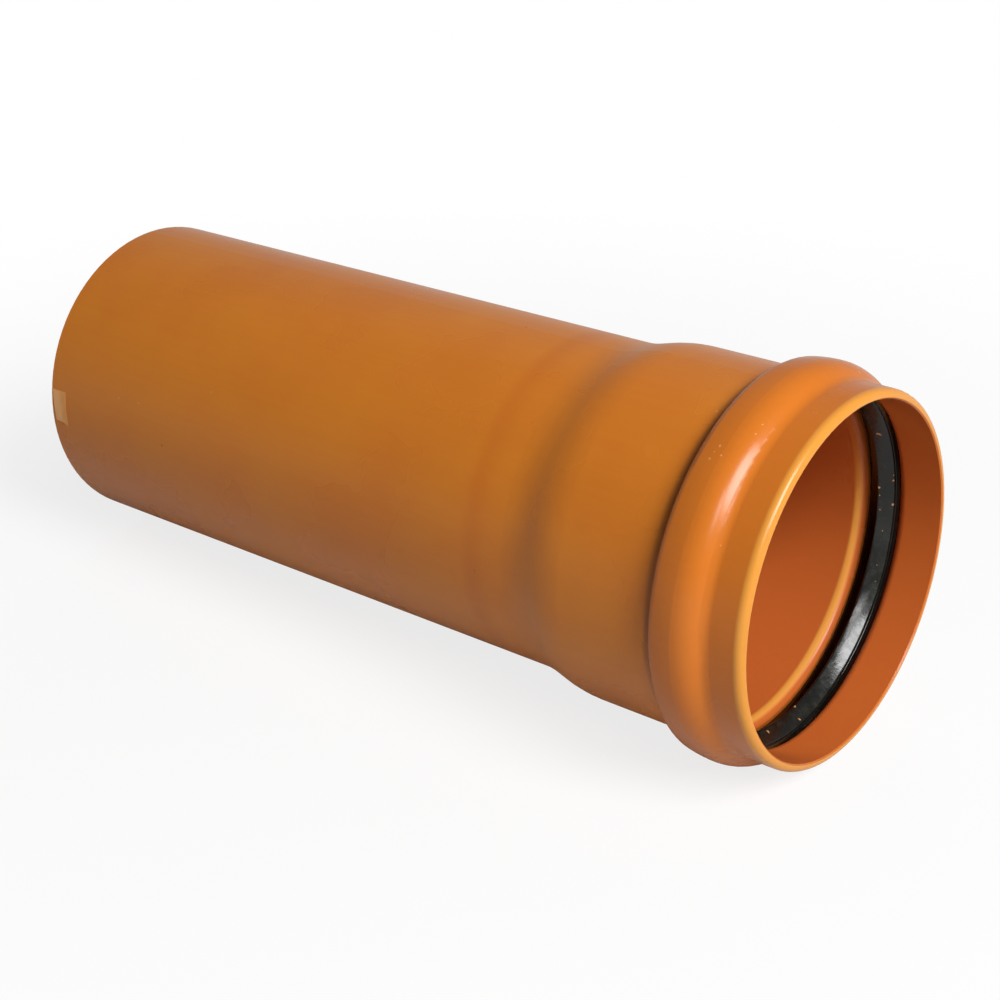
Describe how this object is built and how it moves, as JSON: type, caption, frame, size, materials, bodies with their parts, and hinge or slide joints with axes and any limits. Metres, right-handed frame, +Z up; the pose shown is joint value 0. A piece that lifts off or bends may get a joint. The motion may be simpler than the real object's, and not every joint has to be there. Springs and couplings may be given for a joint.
{
  "type": "underground drain pipe",
  "caption": "Short orange-brown plastic drain pipe: a plain round spigot at one end, and at the other a flared socket with a raised bead that holds a black rubber ring seal.",
  "frame": {"origin": "on the floor, under the middle of the bounding box", "axes": "+X along the pipe towards the socket's mouth, +Z up; the pipe's own axis rises 1.86 degrees towards the mouth, because it rests on the bead and on the plain end's lower edge"},
  "size_m": [0.3068, 0.1282, 0.1282],
  "materials": {
    "pipe_plastic": "extruded, satin, orange-brown through the wall",
    "seal_rubber": "moulded, semi-matt black"
  },
  "bodies": {
    "root": {"pipe": "pipe_plastic", "seal_ring": "seal_rubber"}
  },
  "joints": []
}
